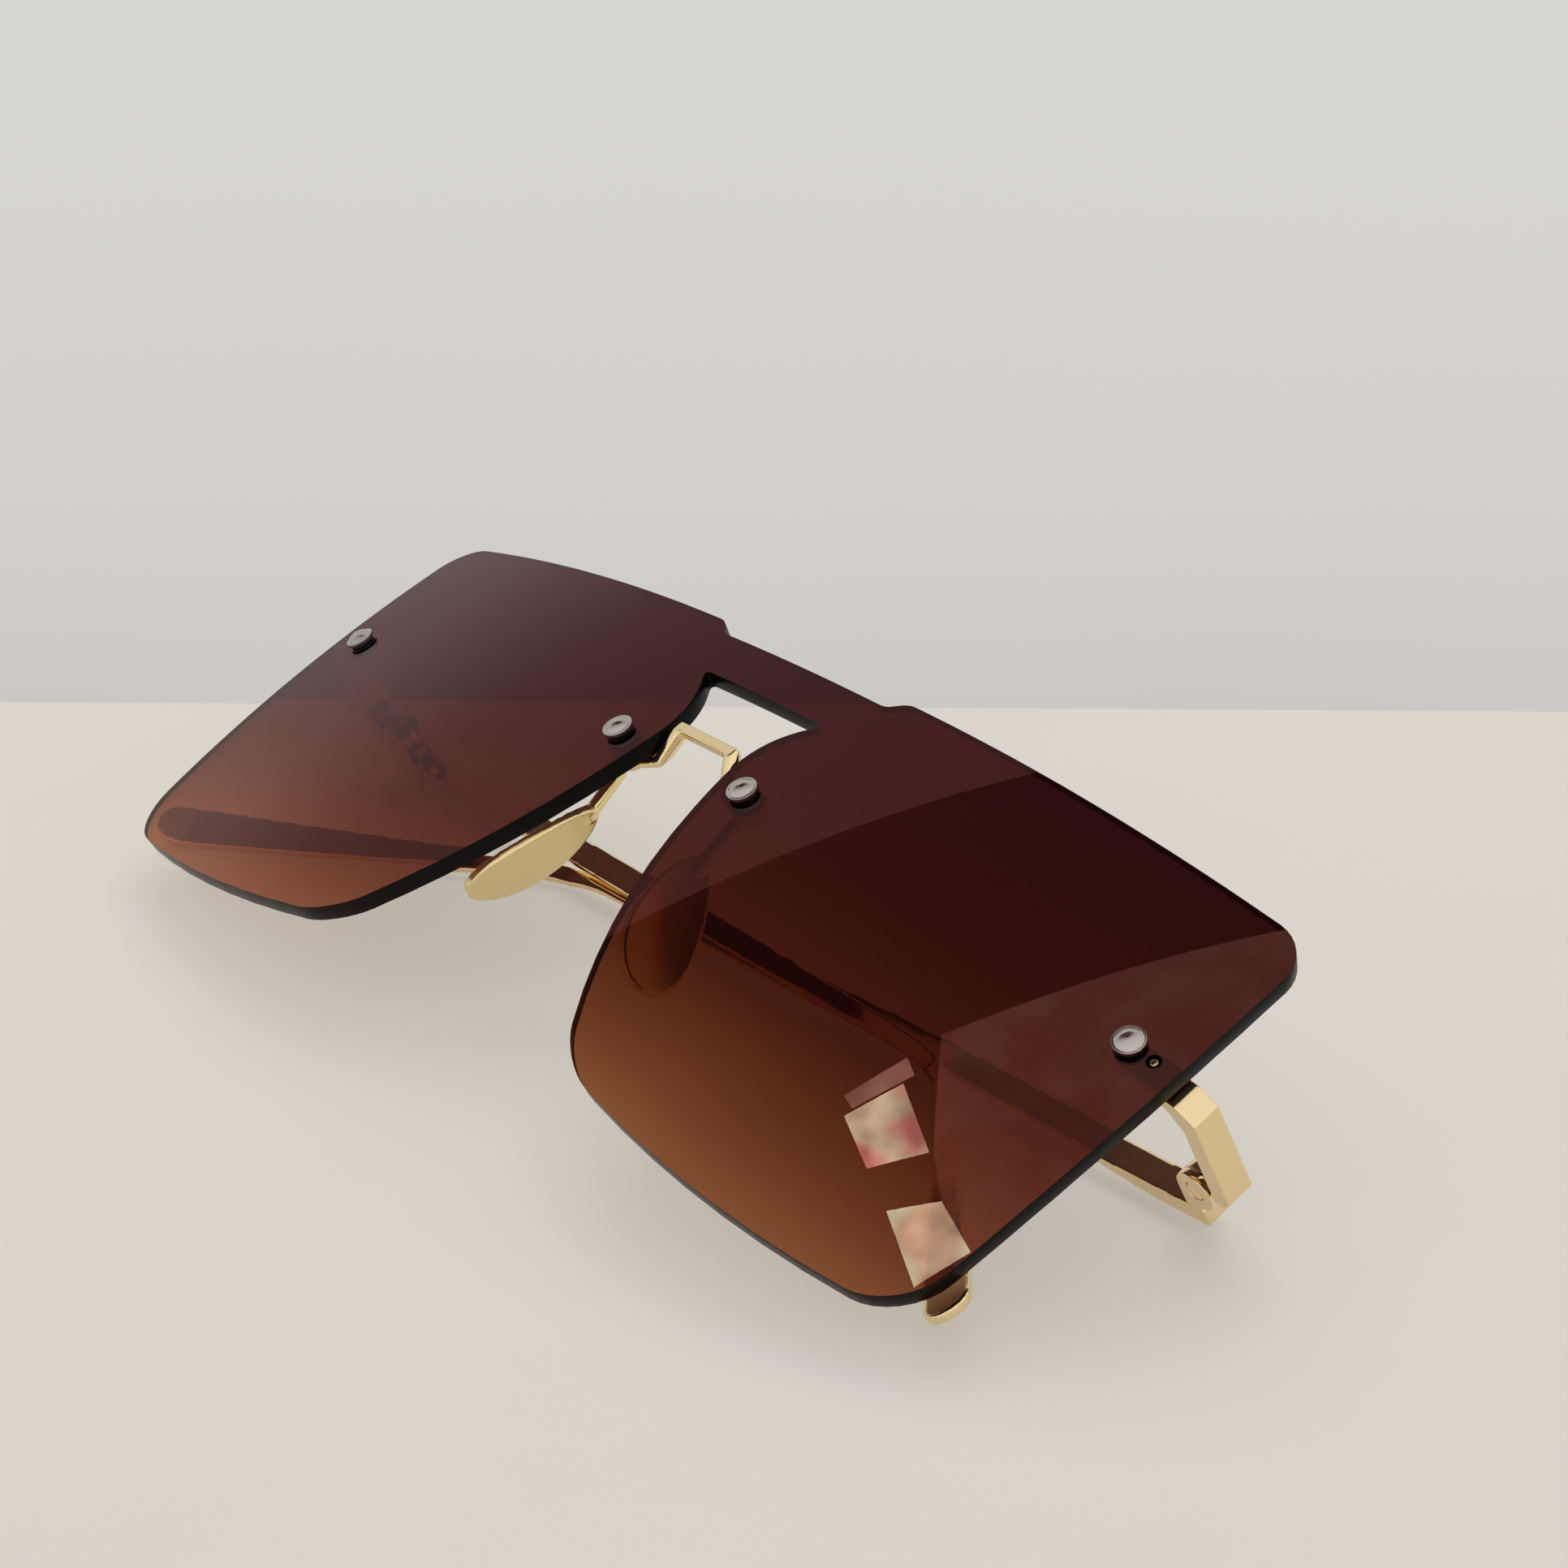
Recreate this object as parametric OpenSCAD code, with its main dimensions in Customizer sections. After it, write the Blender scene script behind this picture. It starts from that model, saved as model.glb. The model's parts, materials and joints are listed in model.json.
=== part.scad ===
// Rimless flat-top sunglasses: one shield lens, polished metal bridge, end
// pieces and folding temples.  Lengths are millimetres, angles degrees.
// Every piece is drawn in the glasses' own front frame: x to the viewer's
// right, y up the lens, z out of its front.  laid() then turns the glasses
// lens up onto a table, standing on the folded temples.

/* [Lens] */
// Overall width of the lens
lens_w = 145; // [130:1:160]
// Height of a lobe from top to bottom
lens_h = 53; // [44:1:62]
// Thickness of the lens
lens_t = 2; // [1.6:0.1:2.6]
// Radius of the spherical front surface
lens_r = 305; // [240:5:400]
// How much narrower each side is at the bottom than at the top
side_taper = 2; // [0:0.5:5]
// Drop of the middle bar below the inner top corner of a lobe
bar_drop = 1.7; // [0.6:0.1:3]
// Half width of the bar at its foot
bar_half_w = 13.9; // [12:0.1:18]
// Height of the bar between top edge and nose opening
bar_h = 5.5; // [4:0.1:8]
// Half width of the nose opening under the bar
nose_top_x = 10.5; // [9:0.1:12.5]
// Half width of the nose opening at its narrowest
nose_waist_x = 6.8; // [6:0.1:8]
// Height of that narrowest place above the middle of the lens
nose_waist_y = 8.1; // [6:0.1:10]
// Half width of the nose opening at the bottom corner
nose_foot_x = 22.3; // [19:0.1:26]

/* [Screws] */
// Distance of a nose screw from the middle
nose_screw_x = 11; // [10:0.1:13]
// Height of a nose screw above the middle of the lens
nose_screw_y = 8.4; // [7:0.1:11]
// Distance of a temple screw in from the widest point of the lens
temple_screw_inset = 5.1; // [4:0.1:8]
// Height of the temple screws, end pieces and temples
temple_y = 7.4; // [4:0.1:11]
// Diameter of a screw head
head_d = 3.35; // [2.6:0.05:4]
// Height of the flat rim of a screw head
head_rim_h = 0.45; // [0.3:0.05:0.8]
// Height of the dome on a screw head
head_dome_h = 0.65; // [0.4:0.05:1]
// Diameter of a screw shank
shank_d = 1.2; // [0.9:0.05:1.6]
// Wall of the sleeve between shank and lens
sleeve_wall = 0.3; // [0.2:0.05:0.5]
// Thickness of a front washer
front_washer_t = 0.4; // [0.2:0.05:0.6]
// Thickness of a rear washer
rear_washer_t = 0.3; // [0.2:0.05:0.6]
// Thickness of a lens nut
nut_t = 1.2; // [0.8:0.1:2]
// Diameter of a lens nut
nut_d = 2.6; // [2.2:0.1:3.4]
// Distance of the locating pin outboard of its temple screw
pin_offset = 3; // [2.6:0.1:3.4]
// Diameter of a locating pin
pin_d = 0.8; // [0.6:0.05:1.1]

/* [Bridge] */
// Half width of the flat top of the bridge
bridge_half_w = 4.4; // [3:0.1:5.2]
// Height of the bridge above the middle of the lens
bridge_y = 12.1; // [11:0.1:14]
// Height of the bridge bar, seen from the front
bridge_h = 1.3; // [0.9:0.1:2]
// Depth of the bridge bar, front to back
bridge_d = 1.1; // [0.8:0.1:1.6]
// Thickness of the plates behind the lens
plate_t = 1; // [0.7:0.1:1.5]
// Radius of a plate's round end
plate_r = 2; // [1.7:0.1:2.6]

/* [Nose pads] */
// Length of a pad's leaf
pad_l = 16.5; // [14:0.5:20]
// Width of a pad's leaf
pad_w = 8.2; // [6:0.1:10]
// Thickness of a pad
pad_t = 1; // [0.8:0.1:1.6]
// Radius of the hollow in a pad's face
pad_hollow_r = 30; // [20:1:60]
// How much narrower a leaf is at the top than at the bottom
pad_taper = 0.2; // [0:0.05:0.35]
// Angle by which the pads lean back towards their tips
pad_lean = 8.5; // [4:0.5:14]
// Angle of a pad's long axis to the vertical
pad_flare = 23; // [15:1:30]
// Angle by which the pads open towards the back
pad_splay = 25; // [12:1:32]
// Diameter of a pad's stem
stem_d = 1.6; // [1.2:0.1:2.2]

/* [End pieces] */
// Height of the end piece's strap
strap_w = 3.3; // [2.8:0.1:4.5]
// Thickness of the end piece behind the screw
strap_t = 2.2; // [1.6:0.1:2.8]
// Distance of the strap's outer face beyond the lens edge
strap_out = 2.8; // [2.4:0.1:4]
// Length of the polished corner facet along x
facet_x = 1.9; // [1:0.1:2.6]
// Depth of the polished corner facet along z
facet_z = 1.7; // [1:0.1:3]
// Distance of the hinge axis behind the middle of the lens front
hinge_back = 24.5; // [20:0.5:32]
// Distance of the hinge axis in from the strap's outer face
hinge_in = 5; // [4.4:0.1:6]
// Radius of a hinge knuckle
knuckle_r = 2.3; // [1.9:0.1:2.5]
// Height of each of the temple's two knuckles
lug_h = 0.9; // [0.7:0.05:1.1]
// Diameter of the hinge screw
hinge_screw_d = 1; // [0.8:0.05:1.3]
// Diameter of the hinge screw's head
hinge_head_d = 2.1; // [1.7:0.05:2.4]

/* [Temples] */
// Distance from the hinge axis to the tip, along the head
temple_l = 143; // [130:0.5:156]
// Distance from the hinge axis to the start of the ear bend
bend_at = 97; // [88:1:104]
// Radius of the ear bend
bend_r = 22; // [16:1:30]
// Angle of the ear bend
bend_angle = 34; // [25:1:40]
// Downward slope of the straight stretch
temple_drop = 1.4; // [1:0.1:2]
// Height of the temple in the slim stretch before the ear
slim_w = 2.1; // [1.8:0.1:3]
// Width of the paddle at the tip
paddle_w = 4.8; // [3.6:0.1:6]
// Thickness of the temple in its long stretch
temple_t = 0.9; // [0.8:0.05:1]
// Thickness of the paddle at the tip
paddle_t = 1.2; // [1:0.1:1.6]
// How far the tip curves in towards the head
tip_rise = 14; // [8:0.5:14.5]
// How far the straight stretch is set in from the hinge end
set_in = 1.2; // [0.8:0.1:1.6]
// Angle past square at which the left temple lies when folded
left_fold = 0.4; // [0.3:0.1:0.6]
// Angle short of square at which the right temple lies, on the left one
right_fold = 0.7; // [0.6:0.1:1]

/* [Hidden] */
$fn = 48;

GOLD = "#d9b878";
STEEL = "#c9cbcf";
SMOKE = "#4a2119";
DARK = "#1d1a1c";

play = 0.05;          // clearance of a screw or pin in its hole
gap = 0.1;            // clearance between hinge faces
seat = 0.02;          // clearance between brazed or stacked flat faces
over = 1;             // how far a drill runs past what it cuts
reach = lens_w;       // longer than any blank or drill needs to be
shell_fn = 400;       // facets of the large lens spheres

screw_proud = 0.2;    // end of a lens screw beyond its nut
pin_ease = 0.4;       // clearance of a locating pin in the lens
stem_in = 1.4;        // end of a pad's stem, in from the top of its leaf
leg = [1.2, 1.9, plate_t * 0.8];  // section of a bridge leg at its foot
strap_break = 0.6;    // corner taken off the back end of a strap
bend_web = 0.9;       // extra metal inside an end piece's bend
pin_root = 0.3;       // a locating pin's root beyond the plate's back face
head_sink = 0.4;      // depth of a hinge screw's counterbore
slot = [0.2, 0.3];    // depth and width of a hinge screw's slot
neck = 7;             // length of a temple's full-thickness root
neck_end = 18;        // where the root has thinned down to the temple
ease_from = 8;        // where the temple starts to ease in towards the head
ease_l = 34;          // length over which it does

pad_sink = pad_t / 2 + sqrt(pow(pad_hollow_r, 2) - pow(pad_l / 2 - stem_in, 2)) - pad_hollow_r;
half_w = lens_w / 2;
half_h = lens_h / 2;
temple_screw_x = half_w - temple_screw_inset;
shank_r = shank_d / 2;
sleeve_r = shank_r + play + sleeve_wall;
lens_hole_r = sleeve_r + play;
pin_r = pin_d / 2;

plate_z = -lens_t - rear_washer_t - play;     // front face of the plates, from the lens front
strap_x = half_w + strap_out;                 // outer face of an end piece
hinge_x = strap_x - hinge_in;
hinge_z = -hinge_back;
face_in = hinge_in - strap_t;                 // hinge axis to the temple's inner face

function depth(x, y) = lens_r - sqrt(lens_r * lens_r - x * x - y * y);

// Places children on the lens front at (x, y), with z along the surface normal.
module on_lens(x, y) {
    lat = asin(y / lens_r);
    lon = asin(x / (lens_r * cos(lat)));
    translate([0, 0, -lens_r])
        rotate([0, lon, 0])
            rotate([-lat, 0, 0])
                translate([0, 0, lens_r])
                    children();
}

module at_nose_screws() for (s = [-1, 1]) on_lens(s * nose_screw_x, nose_screw_y) children();

module at_temple_screws() for (s = [-1, 1]) on_lens(s * temple_screw_x, temple_y) children();

module at_screws() {
    at_nose_screws() children();
    at_temple_screws() children();
}

module ring(r_out, r_in, h) difference() {
    cylinder(h = h, r = r_out);
    translate([0, 0, -over]) cylinder(h = h + 2 * over, r = r_in);
}

// ---------- lens outline ----------
// Corner list of the right half, from the top middle round to the nose:
// [x, y, corner length, bulge of the edge that follows].
lobe_corners = [
    [0, half_h - bar_drop + 0.7, 0, 0],
    [bar_half_w, half_h - bar_drop + 0.7, 0.7, 0],
    [bar_half_w + 2, half_h + 0.7, 0.9, 0.4],
    [half_w, half_h, 4.5, 1.4],
    [half_w - side_taper, -half_h, 5.9, 2.3],
    [nose_foot_x, -half_h + 0.5, 4.7, 2.6],
    [nose_waist_x, nose_waist_y, 3.4, 1.9],
    [nose_top_x, half_h - bar_drop + 0.7 - bar_h, 1.2, 0],
    [0, half_h - bar_drop + 0.7 - bar_h, 0, 0]];

function flat(p) = [p[0], p[1]];
function unit(v) = v / norm(v);
function outward(a, b) = let (d = unit(b - a)) [-d[1], d[0]];

// Point at share u of the bulged edge that starts at corner i.
function on_edge(c, i, u) =
    let (a = flat(c[i]), b = flat(c[i + 1]))
    a + (b - a) * u + outward(a, b) * 4 * c[i][3] * u * (1 - u);
function along_edge(c, i, u) =
    let (a = flat(c[i]), b = flat(c[i + 1]))
    unit((b - a) + outward(a, b) * 4 * c[i][3] * (1 - 2 * u));
function edge_len(c, i) = norm(flat(c[i + 1]) - flat(c[i]));

// Cubic blend across corner i, tangent to both edges.
function corner_points(c, i, n) =
    let (u0 = 1 - c[i][2] / edge_len(c, i - 1),
         u1 = c[i][2] / edge_len(c, i),
         a = on_edge(c, i - 1, u0),
         b = on_edge(c, i, u1),
         pull = 0.55 * c[i][2],
         a1 = a + along_edge(c, i - 1, u0) * pull,
         b1 = b - along_edge(c, i, u1) * pull)
    [for (k = [0 : n]) let (u = k / n, v = 1 - u)
        a * v * v * v + a1 * 3 * v * v * u + b1 * 3 * v * u * u + b * u * u * u];

function edge_points(c, i, n) =
    let (u0 = c[i][2] / edge_len(c, i), u1 = 1 - c[i + 1][2] / edge_len(c, i))
    [for (k = [1 : n - 1]) on_edge(c, i, u0 + (u1 - u0) * k / n)];

function half_outline(c) = [
    for (i = [0 : len(c) - 2])
        for (p = concat(
            i == 0 ? [flat(c[0])] : corner_points(c, i, c[i][2] > 2 ? 8 : 4),
            edge_points(c, i, c[i][3] == 0 ? 1 : 7)))
            p,
    flat(c[len(c) - 1])];

module lens_outline() {
    half = half_outline(lobe_corners);
    back = [for (i = [len(half) - 2 : -1 : 1]) [-half[i][0], half[i][1]]];
    polygon(concat(half, back));
}

module lens() color(SMOKE, 0.8) difference() {
    intersection() {
        translate([0, 0, -lens_r]) difference() {
            sphere(r = lens_r, $fn = shell_fn);
            sphere(r = lens_r - lens_t, $fn = shell_fn);
        }
        translate([0, 0, -reach / 2]) linear_extrude(height = reach) lens_outline();
    }
    at_screws() translate([0, 0, -lens_t - over]) cylinder(h = lens_t + 2 * over, r = lens_hole_r);
    at_pins() translate([0, 0, -lens_t - over])
        cylinder(h = lens_t + 2 * over, r = pin_r + pin_ease);
}

// Places children at the two locating pins, in the frame of their screws.
module at_pins() for (s = [-1, 1])
    on_lens(s * temple_screw_x, temple_y) translate([s * pin_offset, 0, 0]) children();

// ---------- screws, washers, sleeves and nuts ----------
head_z = front_washer_t + seat;
screw_end = plate_z - plate_t - nut_t - screw_proud;
dome_r = (pow(head_d * 0.43, 2) + head_dome_h * head_dome_h) / (2 * head_dome_h);

module lens_screw() {
    translate([0, 0, head_z]) cylinder(h = head_rim_h, d = head_d);
    translate([0, 0, head_z + head_rim_h]) intersection() {
        translate([0, 0, head_dome_h - dome_r]) sphere(r = dome_r);
        cylinder(h = head_dome_h, d = head_d);
    }
    translate([0, 0, screw_end]) cylinder(h = head_z - screw_end, r = shank_r);
}

module lens_screws() color(STEEL) at_screws() lens_screw();

module front_washers() color(DARK) at_screws()
    translate([0, 0, seat / 2]) ring(head_d / 2 - 0.25, shank_r + play, front_washer_t);

module rear_washers() color(DARK) at_screws()
    translate([0, 0, plate_z + seat]) ring(head_d / 2 - 0.25, shank_r + play, rear_washer_t);

module lens_sleeves() color(DARK) at_screws()
    translate([0, 0, -lens_t + seat]) ring(sleeve_r, shank_r + play, lens_t - 2 * seat);

module lens_nuts() color(GOLD) at_screws()
    translate([0, 0, plate_z - plate_t - play - nut_t]) difference() {
        intersection() {
            cylinder(h = nut_t, d = nut_d);
            translate([0, 0, nut_t]) sphere(d = nut_d * 1.25);
        }
        translate([0, 0, -over]) cylinder(h = nut_t + 2 * over, r = shank_r + play / 2);
    }

// ---------- bridge ----------
module bridge_leg(s) {
    knee = [s * bridge_half_w, bridge_y, -bridge_d / 2];
    foot = [s * (nose_waist_x - leg[0] * 0.75), bridge_y - leg[1] * 1.5, plate_z - plate_t / 2];
    hull() {
        translate(knee) cube([bridge_d, bridge_h, bridge_d], center = true);
        translate(foot) cube(leg, center = true);
    }
    hull() {
        translate(foot) cube(leg, center = true);
        on_lens(s * (nose_screw_x - plate_r * 0.8), nose_screw_y)
            translate([0, -gap, plate_z - plate_t / 2])
                cube([plate_r / 2, plate_r * 1.5, leg[2]], center = true);
    }
}

module bridge() color(GOLD) difference() {
    union() {
        translate([-bridge_half_w, bridge_y - bridge_h / 2, -bridge_d])
            cube([2 * bridge_half_w, bridge_h, bridge_d]);
        for (s = [-1, 1]) bridge_leg(s);
        at_nose_screws() translate([0, 0, plate_z - plate_t]) cylinder(h = plate_t, r = plate_r);
    }
    at_nose_screws() translate([0, 0, plate_z - plate_t - over])
        cylinder(h = plate_t + 2 * over, r = shank_r + play);
}

// ---------- nose pads ----------
// Leaf outline: an egg, wider at its lower end.
module leaf() polygon([for (t = [0 : 12 : 348])
    [pad_w / 2 * sin(t) * (1 - pad_taper * cos(t)), pad_l / 2 * cos(t)]]);

pad_mid = [nose_screw_x + 1.4, nose_screw_y - 14.5, plate_z - 4.2];

module pad_frame(s) translate([s * pad_mid[0], pad_mid[1], pad_mid[2]])
    rotate([0, 0, s * pad_flare])
        rotate([pad_lean, 0, 0])
            rotate([0, -s * (90 + pad_splay), 0])
                children();

module nose_pad(s) color(GOLD) {
    pad_frame(s) intersection() {
        linear_extrude(height = pad_l, center = true) leaf();
        translate([0, 0, -pad_hollow_r]) difference() {
            sphere(r = pad_hollow_r + pad_t, $fn = 96);
            sphere(r = pad_hollow_r, $fn = 96);
        }
    }
    stem(s);
}

// Short arm from the back of the bridge's plate to the top of the leaf.
module stem(s) hull() {
    on_lens(s * nose_screw_x, nose_screw_y)
        translate([-s * stem_d / 4, -nut_d / 2 - stem_d / 2 - 1.5 * gap, plate_z - plate_t - seat - stem_d / 2])
            cylinder(h = stem_d / 2, d = stem_d, $fn = 16);
    pad_frame(s) translate([0, pad_l / 2 - stem_in, pad_sink]) sphere(d = stem_d, $fn = 16);
}

module left_nose_pad() nose_pad(-1);
module right_nose_pad() nose_pad(1);

// ---------- end pieces ----------
// Drawn for the right side; sided() mirrors them for the left.
module sided(s) mirror([s < 0 ? 1 : 0, 0, 0]) children();

tilt_end = asin(temple_screw_x / lens_r);                 // slope of the lens at its screw
screw_z = -depth(temple_screw_x, temple_y);

// Plan outline of an end piece, in (x, z).
module end_piece_plan() {
    n = [sin(tilt_end), cos(tilt_end)];
    d = [cos(tilt_end), -sin(tilt_end)];
    root = [temple_screw_x, screw_z] + n * plate_z;
    corner_x = strap_x - facet_x;
    front = root + d * ((corner_x - root[0]) / d[0]);
    turn = [strap_x, front[1] - facet_z];
    back = hinge_z + gap;
    inner = strap_x - strap_t;
    polygon([
        root - d * plate_r,
        front,
        turn,
        [strap_x, back + strap_break],
        [strap_x - strap_break, back],
        [inner, back],
        [inner, turn[1] - facet_z],
        front - n * (plate_t + bend_web) - d * bend_web,
        front - n * (plate_t + 2 * gap) - d * strap_t,
        root - n * plate_t + d * plate_r,
        root - n * plate_t - d * plate_r]);
}

// Lays a drawing made in (x, z) into the front frame, extruded along y.
module along_y(y0, h) translate([0, y0 + h, 0]) rotate([90, 0, 0]) linear_extrude(height = h) children();

module end_piece() color(GOLD) difference() {
    intersection() {
        along_y(temple_y - strap_w / 2, strap_w) end_piece_plan();
        union() {
            translate([temple_screw_x, temple_y - strap_w, -reach])
                cube([reach, 2 * strap_w, 2 * reach]);
            on_lens(temple_screw_x, temple_y) cylinder(h = reach, r = strap_w / 2, center = true);
        }
    }
    on_lens(temple_screw_x, temple_y) {
        cylinder(h = reach, r = shank_r + play, center = true);
        translate([pin_offset, 0, plate_z - plate_t - pin_root]) cylinder(h = reach, r = pin_r + seat);
    }
}

module left_end_piece() sided(-1) end_piece();
module right_end_piece() sided(1) end_piece();

module locating_pins() color(GOLD) at_pins()
    translate([0, 0, plate_z - plate_t - pin_root + seat])
        cylinder(h = plate_t - plate_z + gap, r = pin_r);

// ---------- hinges ----------
barrel_y = temple_y - strap_w / 2 + lug_h + gap;
barrel_h = strap_w - 2 * (lug_h + gap);

module hinge_bore(y0, h) along_y(y0 - gap, h + 2 * gap)
    translate([hinge_x, hinge_z]) circle(d = hinge_screw_d + 2 * play);

module hinge_barrel() color(GOLD) difference() {
    along_y(barrel_y, barrel_h) {
        translate([hinge_x, hinge_z]) circle(r = knuckle_r);
        translate([hinge_x, hinge_z]) square([hinge_in - strap_t - seat, knuckle_r]);
    }
    hinge_bore(barrel_y, barrel_h);
}

module left_hinge_barrel() sided(-1) hinge_barrel();
module right_hinge_barrel() sided(1) hinge_barrel();

// The temple's two lugs, drawn with the temple open.
module lug_plan() translate([hinge_x, hinge_z]) {
    circle(r = knuckle_r);
    translate([0, -knuckle_r]) square([face_in - seat, knuckle_r - 2 * gap]);
}

module hinge_lugs() color(GOLD) difference() {
    for (y0 = [temple_y - strap_w / 2, temple_y + strap_w / 2 - lug_h])
        along_y(y0, lug_h) lug_plan();
    hinge_bore(temple_y - strap_w / 2, strap_w);
    along_y(temple_y - strap_w / 2 - over, head_sink + over)
        translate([hinge_x, hinge_z]) circle(d = hinge_head_d + 2 * play);
}

module hinge_screw() color(STEEL) {
    difference() {
        along_y(temple_y - strap_w / 2 + play, head_sink - play - seat)
            translate([hinge_x, hinge_z]) circle(d = hinge_head_d);
        translate([hinge_x, temple_y - strap_w / 2, hinge_z]) rotate([0, 40, 0])
            cube([2 * hinge_head_d, 2 * slot[0], slot[1]], center = true);
    }
    along_y(temple_y - strap_w / 2 + head_sink / 2, strap_w - head_sink / 2)
        translate([hinge_x, hinge_z]) circle(d = hinge_screw_d);
}

// Swings a right-hand piece from open to its folded place.
module folded(angle) translate([hinge_x, 0, hinge_z]) rotate([0, angle, 0])
    translate([-hinge_x, 0, -hinge_z]) children();

left_angle = 90 + left_fold;
right_angle = 90 - right_fold;

module left_hinge_lugs() sided(-1) folded(left_angle) hinge_lugs();
module right_hinge_lugs() sided(1) folded(right_angle) hinge_lugs();
module left_hinge_screw() sided(-1) hinge_screw();
module right_hinge_screw() sided(1) hinge_screw();

// ---------- temples ----------
// A strap is a ribbon drawn from stations [along, across, half width, slope].
function ribbon(st) = concat(
    [for (p = st) [p[0] + p[2] * sin(p[3]), p[1] + p[2] * cos(p[3])]],
    [for (i = [len(st) - 1 : -1 : 0]) let (p = st[i]) [p[0] - p[2] * sin(p[3]), p[1] - p[2] * cos(p[3])]]);

arc_l = bend_r * bend_angle * PI / 180;
arc_x = bend_r * (sin(temple_drop + bend_angle) - sin(temple_drop));
straight_x = bend_at * cos(temple_drop);
tip_angle = temple_drop + bend_angle;
tip_l = (temple_l - straight_x - arc_x) / cos(tip_angle);

// Centre line of the temple seen from the side, by length s from the hinge.
function side_slope(s) = s < bend_at ? temple_drop : min(tip_angle, temple_drop + (s - bend_at) / bend_r * 180 / PI);
function side_at(s) =
    s <= bend_at ? [s * cos(temple_drop), -s * sin(temple_drop)]
    : let (e = side_slope(s), rest = max(0, s - bend_at - arc_l))
      [straight_x + bend_r * (sin(e) - sin(temple_drop)) + rest * cos(e),
       -bend_at * sin(temple_drop) - bend_r * (cos(temple_drop) - cos(e)) - rest * sin(e)];
total_s = bend_at + arc_l + tip_l;
function side_half(s) = lookup(s, [
    [0, strap_w / 2],
    [bend_at * 0.5, strap_w / 2],
    [bend_at - 4, slim_w / 2],
    [bend_at + arc_l + 4, slim_w / 2],
    [total_s - paddle_w, paddle_w / 2],
    [total_s, paddle_w / 2]]);

module temple_side() {
    tip_r = paddle_w / 2;
    stops = [for (k = [0 : 8]) k * bend_at / 8, for (k = [1 : 8]) bend_at + arc_l * k / 8,
             bend_at + arc_l + 4, (bend_at + arc_l + total_s) / 2, total_s - 2 * tip_r];
    polygon(ribbon(concat(
        [for (s = stops) let (p = side_at(s)) [p[0], p[1], side_half(s), side_slope(s)]],
        [for (a = [0 : 10 : 80]) let (p = side_at(total_s - tip_r + tip_r * sin(a)))
            [p[0], p[1], tip_r * cos(a), tip_angle]])));
}

// Plan of the temple: distance of its inner face from the hinge axis.
rise_from = bend_at + 6;
function eased(u) = let (v = min(1, max(0, u))) v * v * (3 - 2 * v);
function rise(a) = set_in * eased((a - ease_from) / ease_l)
    + (a < rise_from ? 0 : tip_rise * pow((a - rise_from) / (temple_l - rise_from), 1.1));
function thick(a) = lookup(a, [
    [0, strap_t], [neck, strap_t], [neck_end, temple_t],
    [temple_l - 22, temple_t], [temple_l - 8, paddle_t], [temple_l, paddle_t]]);

module temple_plan() {
    stops = [0, neck, (neck + neck_end) / 2, neck_end, 25, 32, ease_from + ease_l,
             for (k = [0 : 12]) rise_from + (temple_l - rise_from + 3) * k / 12];
    inner = [for (a = stops) [face_in - rise(a), -a]];
    outer = [for (i = [len(stops) - 1 : -1 : 0]) let (a = stops[i]) [face_in - rise(a) + thick(a), -a]];
    polygon(concat(inner, outer));
}

module temple() color(GOLD) intersection() {
    along_y(temple_y - reach / 2, reach) translate([hinge_x, hinge_z - gap]) temple_plan();
    translate([hinge_x - reach / 2, temple_y, hinge_z - gap]) rotate([0, 90, 0])
        linear_extrude(height = reach) temple_side();
}

module left_temple() sided(-1) folded(left_angle) temple();
module right_temple() sided(1) folded(right_angle) temple();

// ---------- on the table ----------
// The glasses rest on the temples' hinge ends and on the right temple's tip or
// the lens's lower corners, whichever is lower.
rim = half_outline(lobe_corners);
function rim_z(p) = -depth(p[0], p[1]);
rest_y = temple_y - strap_w / 2 - neck * sin(temple_drop);
rest_z = hinge_z - hinge_in * cos(right_fold) - neck * sin(right_fold);
// Lower outer edge of the folded right temple at length s, as [y, z].
function low_edge(s) =
    let (p = side_at(s), e = side_slope(s), a = p[0] - side_half(s) * sin(e))
    [temple_y + p[1] - side_half(s) * cos(e),
     hinge_z - (face_in - rise(a) + thick(a)) * cos(right_fold) - (gap + a) * sin(right_fold)];
lowest = concat([for (p = rim) if (p[1] < 0) [p[1], rim_z(p) - lens_t]],
    [for (s = [bend_at : 1 : total_s - paddle_w / 2]) low_edge(s)]);
lay_tilt = min([for (p = lowest) atan2(p[1] - rest_z, rest_y - p[0])]);
lay_drop = -rest_y * sin(lay_tilt) - rest_z * cos(lay_tilt);
far = max([for (p = rim) p[1] * cos(lay_tilt) - (rim_z(p) - lens_t) * sin(lay_tilt)]);
near = min([for (p = rim) p[1] * cos(lay_tilt) - rim_z(p) * sin(lay_tilt)]);

module laid() translate([0, -(far + near) / 2, lay_drop]) rotate([lay_tilt, 0, 0]) children();

laid() lens();
laid() bridge();
laid() left_nose_pad();
laid() right_nose_pad();
laid() lens_screws();
laid() front_washers();
laid() rear_washers();
laid() lens_sleeves();
laid() lens_nuts();
laid() left_end_piece();
laid() right_end_piece();
laid() locating_pins();
laid() left_hinge_barrel();
laid() right_hinge_barrel();
laid() left_hinge_lugs();
laid() right_hinge_lugs();
laid() left_hinge_screw();
laid() right_hinge_screw();
laid() left_temple();
laid() right_temple();
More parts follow.
